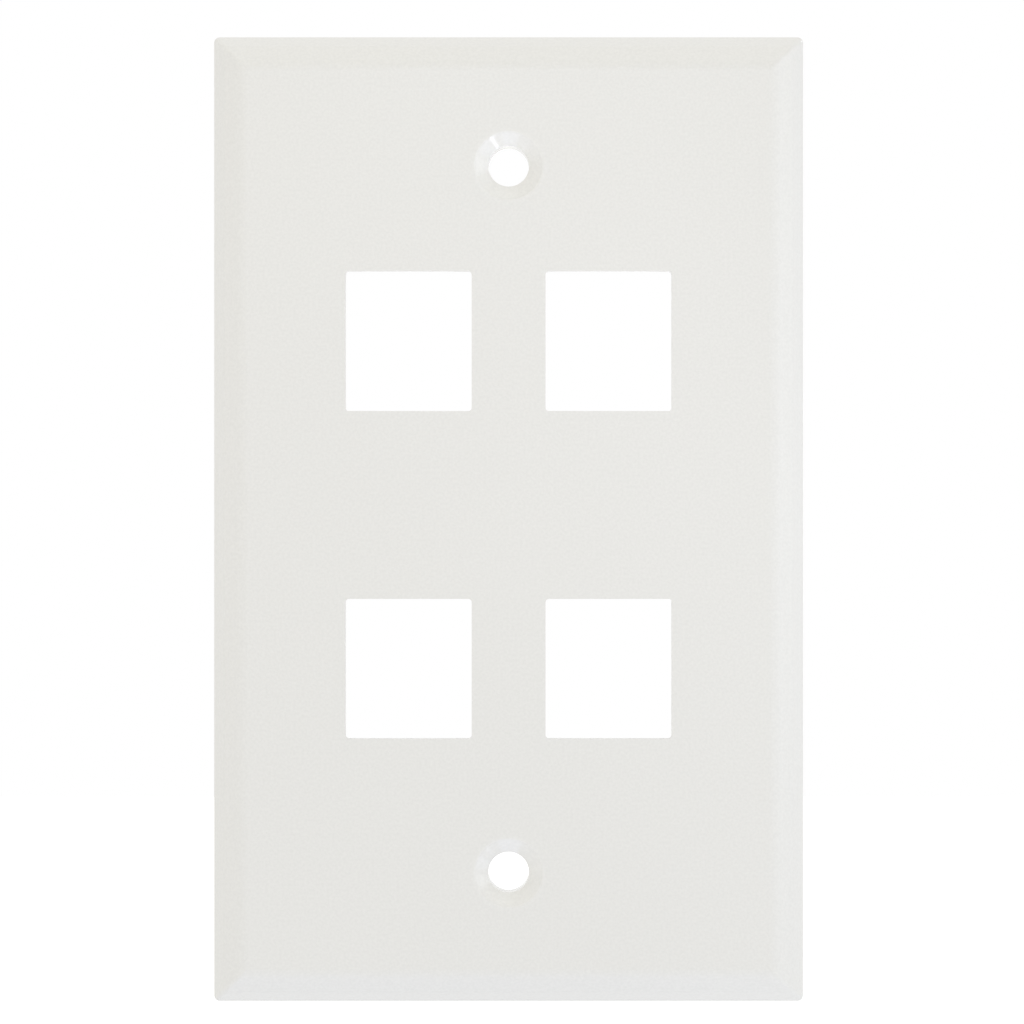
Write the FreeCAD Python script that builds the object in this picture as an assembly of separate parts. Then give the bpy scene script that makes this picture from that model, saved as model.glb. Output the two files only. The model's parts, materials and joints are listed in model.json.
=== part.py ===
import FreeCAD, Part
import math
import os
from FreeCAD import Vector

# Four-port keystone faceplate for a single-gang wall box, moulded in one piece of ABS.
# Millimetres. The plate stands upright as on the wall: +X right, +Z up, its face looking along -Y.
# The wall is the plane y = 0 and the origin is the plate's centre on it. The port sockets reach
# past the wall into the box.

# Plate: the single-gang size, 2 3/4 by 4 1/2 inches
plate_width = 69.85
plate_height = 114.30
plate_depth = 5.6           # wall to face
face_wall = 2.3
rim_wall = 2.0

# Rim section, from the wall to the face: a straight edge, a steep skirt, then a flatter bevel.
# A run is measured across the plate, a rise along its depth.
edge_rise = 1.9
skirt_run = 1.3
bevel_run = 2.1
bevel_rise = 1.45
hollow_run = 2.4            # inner slope, behind the skirt and the bevel
face_round = 2.3            # bevel into face
ridge_round = 1.0           # skirt into bevel
mitre_round = 0.6           # along the mitres
corner_round = 0.7          # corners of the outline

# Wall screws: 6-32 oval heads on the wall box's 3 9/32 inch centres
screw_pitch = 83.34
screw_hole = 4.8
sink_mouth = 8.1
sink_angle = 110.0
sink_round = 0.5
boss_wall = 2.3
boss_recess = 0.3           # the bosses stop this far short of the wall

# Keystone ports: a front opening, a wider room behind it, and two catches at its back
port_columns = 2
port_rows = 2
column_pitch = 23.6
row_pitch = 38.65
port_width = 14.9
port_height = 16.5
port_corner = 0.4
side_room = 0.3             # the room is this much wider than the opening, on each side
fixed_room = 1.8            # room above the opening, for the jack's fixed hook
latch_room = 5.15           # room below the opening, for the jack's spring latch
fixed_catch = 1.3           # how far the upper catch stands into the room
latch_catch = 2.0           # how far the lower catch stands into the room
latch_lead = 0.9            # sloped lead-in on the back of the lower catch
catch_depth = 8.0           # face to catches
catch_wall = 1.8
socket_wall = 1.4
socket_corner = 0.9
socket_round = 0.4          # rear rim of a socket

# Ribs across the hollow, in line with the screws and the ports
rib_wall = 1.2
rib_recess = 0.8            # the ribs stop this far short of the wall

# Planes along the depth
face_y = -plate_depth
inner_y = face_y + face_wall
catch_y = face_y + catch_depth
socket_y = catch_y + catch_wall

room_width = port_width + 2 * side_room
room_height = fixed_room + port_height + latch_room
same = 1e-3                 # points closer than this are on the same plane


def block(x, y, z):
    """A box between two x, two y and two z values."""
    return Part.makeBox(x[1] - x[0], y[1] - y[0], z[1] - z[0], Vector(x[0], y[0], z[0]))


def drum(radius, y, centre):
    """A cylinder along the depth, between two y values."""
    return Part.makeCylinder(radius, y[1] - y[0], Vector(centre.x, y[0], centre.z), Vector(0, 1, 0))


def rounded(solid, radius, chosen):
    """Fillet each edge whose ends and middle all pass the test."""
    edges = []
    for edge in solid.Edges:
        middle = edge.valueAt((edge.FirstParameter + edge.LastParameter) / 2)
        points = [vertex.Point for vertex in edge.Vertexes] + [middle]
        if all(chosen(point) for point in points):
            edges.append(edge)
    return solid.makeFillet(radius, edges)


def at_depth(y):
    return lambda point: abs(point.y - y) < same


def at_corner(half_width, half_height, mid_z=0.0):
    """A test for the four corner edges of a block that stands along the depth."""
    return lambda point: (abs(abs(point.x) - half_width) < same
                          and abs(abs(point.z - mid_z) - half_height) < same)


def on_mitre(point):
    """True on the diagonal planes in which the rim's sides meet."""
    side = plate_width / 2 - abs(point.x)
    end = plate_height / 2 - abs(point.z)
    return abs(side - end) < same


def evenly(count, pitch):
    return [(index - (count - 1) / 2) * pitch for index in range(count)]


def mitred(section, width, height):
    """Run a rim section round a rectangle: an upright and a level bar of it, intersected.

    The section is a list of (inset from the edge, y), from the wall to the face.
    """
    def bar(across, place, sweep):
        right = [(across / 2 - inset, y) for inset, y in section]
        left = [(-u, y) for u, y in reversed(right)]
        corners = [place(u, y) - sweep / 2 for u, y in right + left]
        return Part.Face(Part.makePolygon(corners + corners[:1])).extrude(sweep)

    overrun = -2 * min(inset for inset, y in section)
    upright = bar(width, lambda u, y: Vector(u, y, 0), Vector(0, 0, height + overrun))
    level = bar(height, lambda u, y: Vector(0, y, u), Vector(width + overrun, 0, 0))
    return upright.common(level)


def outer_form():
    """The plate's outside as a solid: a dome with mitred, rounded sides, trimmed to the outline."""
    ridge_y = face_y + bevel_rise
    skirt_rise = plate_depth - bevel_rise - edge_rise
    overrun = skirt_run * edge_rise / skirt_rise        # the skirt carried on to the wall
    section = [(-overrun, 0), (skirt_run, ridge_y), (skirt_run + bevel_run, face_y)]
    dome = mitred(section, plate_width, plate_height)
    dome = rounded(dome, face_round, at_depth(face_y))
    dome = rounded(dome, ridge_round, at_depth(ridge_y))
    dome = rounded(dome, mitre_round, on_mitre)

    half_width = plate_width / 2
    half_height = plate_height / 2
    outline = block((-half_width, half_width), (face_y, 0), (-half_height, half_height))
    return dome.common(rounded(outline, corner_round, at_corner(half_width, half_height)))


def hollow():
    """The hollow behind the face: straight inside the rim's edge, then sloped in."""
    section = [(0, 0), (0, -edge_rise), (hollow_run, inner_y)]
    return mitred(section, plate_width - 2 * rim_wall, plate_height - 2 * rim_wall)


def ribs():
    """Upright and level ribs from rim to rim, through the plate's centre and its ports."""
    depth = (inner_y, -rib_recess)
    half = rib_wall / 2
    bars = []
    for x in [0.0] + evenly(port_columns, column_pitch):
        bars.append(block((x - half, x + half), depth, (-plate_height / 2, plate_height / 2)))
    for z in [0.0] + evenly(port_rows, row_pitch):
        bars.append(block((-plate_width / 2, plate_width / 2), depth, (z - half, z + half)))
    return bars


def socket_body():
    """Outside of a socket, from the back of the face to the socket's rear rim."""
    half_width = room_width / 2 + socket_wall
    half_height = room_height / 2 + socket_wall
    body = block((-half_width, half_width), (inner_y, socket_y), (-half_height, half_height))
    body = rounded(body, socket_corner, at_corner(half_width, half_height))
    return rounded(body, socket_round, at_depth(socket_y))


def port_cut():
    """What a port takes out: its front opening, its room and the rear window between the catches."""
    half_port = port_width / 2
    half_room = room_width / 2
    room_low = -room_height / 2
    room_high = room_height / 2
    port_low = room_low + latch_room
    port_high = room_high - fixed_room
    window_low = room_low + latch_catch
    window_high = room_high - fixed_catch

    opening = block((-half_port, half_port), (face_y, inner_y), (port_low, port_high))
    port_mid = (port_low + port_high) / 2
    opening = rounded(opening, port_corner, at_corner(half_port, port_height / 2, port_mid))
    room = block((-half_room, half_room), (inner_y, catch_y), (room_low, room_high))
    window = block((-half_room, half_room), (catch_y, socket_y), (window_low, window_high))
    lead = [Vector(-half_room, socket_y - latch_lead, window_low),
            Vector(-half_room, socket_y, window_low),
            Vector(-half_room, socket_y, window_low - latch_lead)]
    ramp = Part.Face(Part.makePolygon(lead + lead[:1])).extrude(Vector(room_width, 0, 0))
    return opening.fuse([room, window, ramp])


def screw_boss(centre):
    return drum(screw_hole / 2 + boss_wall, (inner_y, -boss_recess), centre)


def screw_cut(centre):
    """A screw's clearance hole and the cone for its head."""
    sink_depth = (sink_mouth - screw_hole) / 2 / math.tan(math.radians(sink_angle / 2))
    mouth = Vector(centre.x, face_y, centre.z)
    cone = Part.makeCone(sink_mouth / 2, screw_hole / 2, sink_depth, mouth, Vector(0, 1, 0))
    return cone.fuse(drum(screw_hole / 2, (face_y, 0), centre))


def faceplate():
    """The whole moulding: shell, ribs, bosses and sockets, then its holes."""
    screws = [Vector(0, 0, z) for z in evenly(2, screw_pitch)]
    ports = [Vector(x, 0, z) for x in evenly(port_columns, column_pitch)
             for z in evenly(port_rows, row_pitch)]

    inside = ribs() + [screw_boss(centre) for centre in screws]
    inside = [piece.common(hollow()) for piece in inside]
    sockets = [socket_body().translated(centre) for centre in ports]
    plate = outer_form().cut(hollow()).fuse(inside + sockets)

    cuts = [port_cut().translated(centre) for centre in ports]
    cuts += [screw_cut(centre) for centre in screws]
    plate = plate.cut(cuts).removeSplitter()

    def at_sink_mouth(point):
        reach = min(point.distanceToPoint(Vector(0, face_y, centre.z)) for centre in screws)
        return at_depth(face_y)(point) and abs(reach - sink_mouth / 2) < same

    return rounded(plate, sink_round, at_sink_mouth)


os.makedirs("parts", exist_ok=True)
plate = faceplate()
print("faceplate", "valid" if plate.isValid() else "not valid", len(plate.Solids), "solid")
plate.exportStep("parts/faceplate.step")
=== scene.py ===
import json
import math
import bpy
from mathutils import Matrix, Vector


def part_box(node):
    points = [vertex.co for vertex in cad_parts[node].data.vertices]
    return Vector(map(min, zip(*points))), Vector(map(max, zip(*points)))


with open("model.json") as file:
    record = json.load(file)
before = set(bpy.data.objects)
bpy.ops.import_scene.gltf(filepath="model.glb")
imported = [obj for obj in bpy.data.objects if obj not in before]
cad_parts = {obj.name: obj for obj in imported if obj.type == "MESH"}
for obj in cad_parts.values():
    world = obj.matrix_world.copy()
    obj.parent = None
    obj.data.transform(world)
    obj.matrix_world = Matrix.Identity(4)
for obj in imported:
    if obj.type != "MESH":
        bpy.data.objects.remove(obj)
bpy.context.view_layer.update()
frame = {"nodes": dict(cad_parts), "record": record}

# ---------------------------------------------------------------------------------------------
# The faceplate: one piece of off-white ABS, injection moulded. The cavity side of the mould was
# spark eroded, which leaves the face and the rim a fine low-sheen grain. The screw seats are
# turned pins in the mould, and the core behind the face was polished, so both come out smooth.

MM = 0.001

plate = frame["nodes"]["faceplate"]
plate_low, plate_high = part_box("faceplate")
face_y = plate_low.y

mounts = {mount["name"]: mount for mount in frame["record"]["mounts"]}
screw_z = mounts["wall_screws"]["dims"]["spacing_y_mm"] * MM / 2
sink_radius = 4.05 * MM         # of a countersink, at its mouth
sink_round = 0.5 * MM

# Finishes
ABS_IOR = 1.54
GRAIN_ROUGHNESS = 0.46
SEAT_ROUGHNESS = 0.13
CORE_ROUGHNESS = 0.30

# Grain. Real spark pits are a few hundredths of a millimetre across, too fine to show, so they
# are drawn coarser.
PITS = 0.33 * MM
FINE_PITS = 0.17 * MM
FINE_SHARE = 0.5                # height of the fine pits, as a share of the others'
GRAIN_DEPTH = 0.006 * MM
SMOOTH_GRAIN = 0.05             # share of the grain that the smooth parts still show

# The core side starts where a surface no longer leans to the front, told by its normal's Y. The
# rim's straight edge doesn't lean either, but it is at the outline and keeps its grain.
GRAIN_LEAN = -0.45
CORE_LEAN = -0.25
EDGE_FADE = (0.2 * MM, 0.6 * MM)

# Ejector pins, in each quarter of the core
PIN_PLACES = ((23.5 * MM, 41.0 * MM), (27.5 * MM, 9.5 * MM))
PIN_RADIUS = 2.0 * MM
PIN_EDGE = 0.15 * MM
PIN_DEPTH = 0.05 * MM

# The white, the factors that vary it, and the painted light and shade on it
ABS_WHITE = "E9E8E4"
PIT_RANGE = (0.3, 0.7)          # most of the noise's heights
PIT_SHADE = 0.022
DRIFT = 25 * MM
DRIFT_SHADES = (0.993, 1.005)
LOW_END_PAINTED_SHADE = 0.990
SEAT_PAINTED_LIGHT = 1.035              # painted light: the screw seats are drawn lighter than the face


def linear(srgb_hex):
    """The linear colour of an sRGB hex value."""
    channels = [int(srgb_hex[i:i + 2], 16) / 255 for i in (0, 2, 4)]
    return [c / 12.92 if c <= 0.04045 else ((c + 0.055) / 1.055) ** 2.4 for c in channels] + [1.0]


def add(tree, kind, settings=None, **links):
    """Add a shader node.

    A setting names a property or a socket, and a link names a socket, with _ for a space. Where
    sockets share a name they go by number: 1 as a setting, in_1 as a link.
    """
    node = tree.nodes.new("ShaderNode" + kind)
    for name, value in (settings or {}).items():
        if isinstance(name, str) and hasattr(node, name):
            setattr(node, name, value)
        else:
            node.inputs[name].default_value = value
    for name, source in links.items():
        socket = int(name[3:]) if name.startswith("in_") else name.replace("_", " ")
        tree.links.new(source, node.inputs[socket])
    return node


def new_material(name):
    material = bpy.data.materials.new(name)
    material.use_nodes = True
    material.node_tree.nodes.clear()
    return material, material.node_tree


def screw_seats(tree, x, height):
    """1 within the countersinks, where the mould is polished, else 0."""
    above = add(tree, "Math", {"operation": "SUBTRACT", 1: screw_z}, in_0=height)
    flat = add(tree, "CombineXYZ", X=x, Z=above.outputs[0])
    reach = add(tree, "VectorMath", {"operation": "LENGTH"}, in_0=flat.outputs[0])
    seat = add(tree, "MapRange",
               {"From Min": sink_radius + sink_round, "From Max": sink_radius - sink_round},
               Value=reach.outputs["Value"])
    return seat.outputs[0]


def core_side(tree, normal, across, height):
    """1 on what looks sideways or back, a little in from the outline, else 0."""
    lean = add(tree, "SeparateXYZ", Vector=normal)
    facing = add(tree, "MapRange", {"From Min": GRAIN_LEAN, "From Max": CORE_LEAN},
                 Value=lean.outputs["Y"])
    inside = [add(tree, "MapRange", {"From Min": edge - EDGE_FADE[0], "From Max": edge - EDGE_FADE[1]},
                  Value=reach)
              for reach, edge in ((across, plate_high.x), (height, plate_high.z))]
    inner = add(tree, "Math", {"operation": "MINIMUM"},
                in_0=inside[0].outputs[0], in_1=inside[1].outputs[0])
    core = add(tree, "Math", {"operation": "MULTIPLY"}, in_0=facing.outputs[0], in_1=inner.outputs[0])
    return core.outputs[0]


def pin_marks(tree, across, height):
    """0 on the round witness marks that the ejector pins leave on the core side, else 1."""
    quarter = add(tree, "CombineXYZ", X=across, Z=height)
    nearest = None
    for x, z in PIN_PLACES:
        away = add(tree, "VectorMath", {"operation": "DISTANCE", 1: (x, 0, z)}, in_0=quarter.outputs[0])
        away = away.outputs["Value"]
        if nearest is not None:
            away = add(tree, "Math", {"operation": "MINIMUM"}, in_0=nearest, in_1=away).outputs[0]
        nearest = away
    marks = add(tree, "MapRange", {"From Min": PIN_RADIUS, "From Max": PIN_RADIUS + PIN_EDGE},
                Value=nearest)
    return marks.outputs[0]


def moulded_white_and_painted_light(tree, place, z, pits, seat):
    """The white of the ABS, which isn't quite even, with painted light and shade on it.

    Uneven cooling lets it drift by about one percent over a few centimetres. Painted shade makes it
    one percent deeper at the lower end, and painted light makes it a little lighter in the screw seats.
    """
    speck = add(tree, "MapRange", {"From Min": PIT_RANGE[0], "From Max": PIT_RANGE[1],
                                   "To Min": 1 - PIT_SHADE, "To Max": 1 + PIT_SHADE}, Value=pits)
    drift = add(tree, "TexNoise", {"Scale": 1 / DRIFT, "Detail": 2.0}, Vector=place)
    tone = add(tree, "MapRange", {"To Min": DRIFT_SHADES[0], "To Max": DRIFT_SHADES[1]},
               Value=drift.outputs["Fac"])
    # Painted shade: the white is drawn one percent deeper towards the lower end.
    painted_low_shade = add(tree, "MapRange", {"From Min": plate_low.z, "From Max": 0.0,
                                     "To Min": LOW_END_PAINTED_SHADE, "To Max": 1.0}, Value=z)
    # Painted light: the screw seats are drawn a little lighter than the rest of the face.
    clear = add(tree, "MapRange", {"To Min": 1.0, "To Max": SEAT_PAINTED_LIGHT}, Value=seat)

    shade = speck.outputs[0]
    for factor in (tone, painted_low_shade, clear):
        product = add(tree, "Math", {"operation": "MULTIPLY"}, in_0=shade, in_1=factor.outputs[0])
        shade = product.outputs[0]
    colour = add(tree, "VectorMath", {"operation": "SCALE", 0: linear(ABS_WHITE)[:3]}, Scale=shade)
    return colour.outputs[0]


def spark_eroded_abs():
    """Moulded ABS: a matt, faintly warm white with a grain too fine to pick out a step away."""
    material, tree = new_material("abs_spark_eroded")
    coordinates = add(tree, "TexCoord")
    place = coordinates.outputs["Object"]
    axes = add(tree, "SeparateXYZ", Vector=place)
    across = add(tree, "Math", {"operation": "ABSOLUTE"}, in_0=axes.outputs["X"]).outputs[0]
    height = add(tree, "Math", {"operation": "ABSOLUTE"}, in_0=axes.outputs["Z"]).outputs[0]

    seat = screw_seats(tree, axes.outputs["X"], height)
    core = core_side(tree, coordinates.outputs["Normal"], across, height)
    smooth = add(tree, "Math", {"operation": "MAXIMUM"}, in_0=seat, in_1=core)

    # Relief: the grain, and the pins' marks over it
    pits = add(tree, "TexNoise", {"Scale": 1 / PITS, "Detail": 1.0}, Vector=place)
    fine = add(tree, "TexNoise", {"Scale": 1 / FINE_PITS, "Detail": 0.0}, Vector=place)
    both = add(tree, "Math", {"operation": "MULTIPLY_ADD", 1: FINE_SHARE},
               in_0=fine.outputs["Fac"], in_2=pits.outputs["Fac"])
    grain = add(tree, "MapRange", {"To Min": 1.0, "To Max": SMOOTH_GRAIN}, Value=smooth.outputs[0])
    grained = add(tree, "Bump", {"Distance": GRAIN_DEPTH},
                  Height=both.outputs[0], Strength=grain.outputs[0])
    stamped = add(tree, "Bump", {"Distance": PIN_DEPTH},
                  Height=pin_marks(tree, across, height), Strength=core, Normal=grained.outputs[0])

    # Sheen: low on the grain, higher on the core side, highest in the screw seats
    core_gloss = add(tree, "MapRange", {"To Min": GRAIN_ROUGHNESS, "To Max": CORE_ROUGHNESS}, Value=core)
    gloss = add(tree, "MapRange", {"To Max": SEAT_ROUGHNESS}, Value=seat, To_Min=core_gloss.outputs[0])

    colour = moulded_white_and_painted_light(tree, place, axes.outputs["Z"], pits.outputs["Fac"], seat)
    shader = add(tree, "BsdfPrincipled", {"IOR": ABS_IOR}, Base_Color=colour,
                 Roughness=gloss.outputs[0], Normal=stamped.outputs[0])
    add(tree, "OutputMaterial", Surface=shader.outputs[0])
    return material


plate.data.materials.clear()
plate.data.materials.append(spark_eroded_abs())


# ---------------------------------------------------------------------------------------------
# The studio: the plate hangs by its two screws at socket height over a pale floor, in a white
# surround that gives most of the light. The lamps on the right, below and overhead are cool, the
# one near the left is warm, and two small snoots put the glints on the screw seats.

WHITE = "FFFFFF"
BOARD_WHITE = "F2F2F0"
FLOOR_SIZE = 12.0
FLOOR_DROP = 0.40               # from the plate's middle, as such plates are fixed
FLOOR_LIFT = 0.5
SURROUND_LIGHT = 0.896          # what falls on the plate; the seen rays get full white


def seen_rays(tree):
    """1 for rays from the camera, direct or by way of a reflection or clear plastic, else 0."""
    path = add(tree, "LightPath")
    seen = add(tree, "Math", {"operation": "MAXIMUM"},
               in_0=path.outputs["Is Camera Ray"], in_1=path.outputs["Is Transmission Ray"])
    seen = add(tree, "Math", {"operation": "MAXIMUM"},
               in_0=seen.outputs[0], in_1=path.outputs["Is Glossy Ray"])
    return seen.outputs[0]


def white_board():
    """Matt white board. Its own light lifts it to the white of the surround and leaves the shadow."""
    material, tree = new_material("white_board")
    lift = add(tree, "Math", {"operation": "MULTIPLY", 1: FLOOR_LIFT}, in_0=seen_rays(tree))
    glow = add(tree, "Emission", {"Color": linear(WHITE)}, Strength=lift.outputs[0])
    lit = add(tree, "BsdfDiffuse", {"Color": linear(BOARD_WHITE)})
    both = add(tree, "AddShader", in_0=lit.outputs[0], in_1=glow.outputs[0])
    add(tree, "OutputMaterial", Surface=both.outputs[0])
    return material


half = FLOOR_SIZE / 2
corners = [(-half, -half, 0), (half, -half, 0), (half, half, 0), (-half, half, 0)]
floor_mesh = bpy.data.meshes.new("floor")
floor_mesh.from_pydata(corners, [], [(0, 1, 2, 3)])
floor = bpy.data.objects.new("floor", floor_mesh)
floor.location.z = -FLOOR_DROP
floor.data.materials.append(white_board())
bpy.context.scene.collection.objects.link(floor)

world = bpy.data.worlds.new("surround")
world.use_nodes = True
bpy.context.scene.world = world
world.node_tree.nodes.clear()
ambient = add(world.node_tree, "Background", {"Color": linear(WHITE), "Strength": SURROUND_LIGHT})
backdrop = add(world.node_tree, "Background", {"Color": linear(WHITE), "Strength": 1.0})
mixed = add(world.node_tree, "MixShader", in_0=seen_rays(world.node_tree),
            in_1=ambient.outputs[0], in_2=backdrop.outputs[0])
add(world.node_tree, "OutputWorld", Surface=mixed.outputs[0])


def soft_lamp(name, place, size, watts, tint, aim=(0, 0, 0), spread=180):
    """A square softbox that faces its aim; a smaller spread, in degrees, keeps its light to there."""
    light = bpy.data.lights.new(name, "AREA")
    light.size = size
    light.energy = watts
    light.spread = math.radians(spread)
    light.color = linear(tint)[:3]
    lamp = bpy.data.objects.new(name, light)
    lamp.location = place
    lamp.rotation_euler = (Vector(aim) - Vector(place)).to_track_quat("-Z", "Y").to_euler()
    lamp.visible_camera = False
    bpy.context.scene.collection.objects.link(lamp)


soft_lamp("key_right", (0.66, -0.20, 0.10), size=0.30, watts=0.310, tint="F0F6FF")
soft_lamp("key_low", (0.50, -0.22, -0.26), size=0.25, watts=0.145, tint="C4D8FF")
soft_lamp("under", (-0.02, -0.15, -0.37), size=0.24, watts=0.185, tint="C8D4FF")
soft_lamp("near_left", (-0.20, -0.38, 0.24), size=0.25, watts=0.150, tint="FFF3D0")
soft_lamp("overhead", (0.06, -0.16, 0.42), size=0.25, watts=0.064, tint="F0FAFF")
soft_lamp("glint_low", (0.22, -0.145, -0.29), size=0.06, watts=0.0020, tint="ECF0FF",
          aim=(0.004, 0, 0.054), spread=14)
soft_lamp("glint_left", (-0.28, -0.145, -0.24), size=0.03, watts=0.0003, tint="E4E4FF",
          aim=(0, 0, 0.050), spread=18)

# The camera looks square on at the face from just over half a metre.
DISTANCE = 0.55
FRAMING = 1.0555                # height of the view over the plate's
AIM = Vector((0.4 * MM, face_y, 0.85 * MM))

camera_data = bpy.data.cameras.new("camera")
view_height = FRAMING * (plate_high.z - plate_low.z)
camera_data.lens = camera_data.sensor_width * DISTANCE / view_height
camera = bpy.data.objects.new("camera", camera_data)
camera.location = AIM - Vector((0, DISTANCE, 0))
camera.rotation_euler = (math.radians(90), 0, 0)
bpy.context.scene.collection.objects.link(camera)
bpy.context.scene.camera = camera
bpy.context.scene.view_settings.view_transform = "Standard"
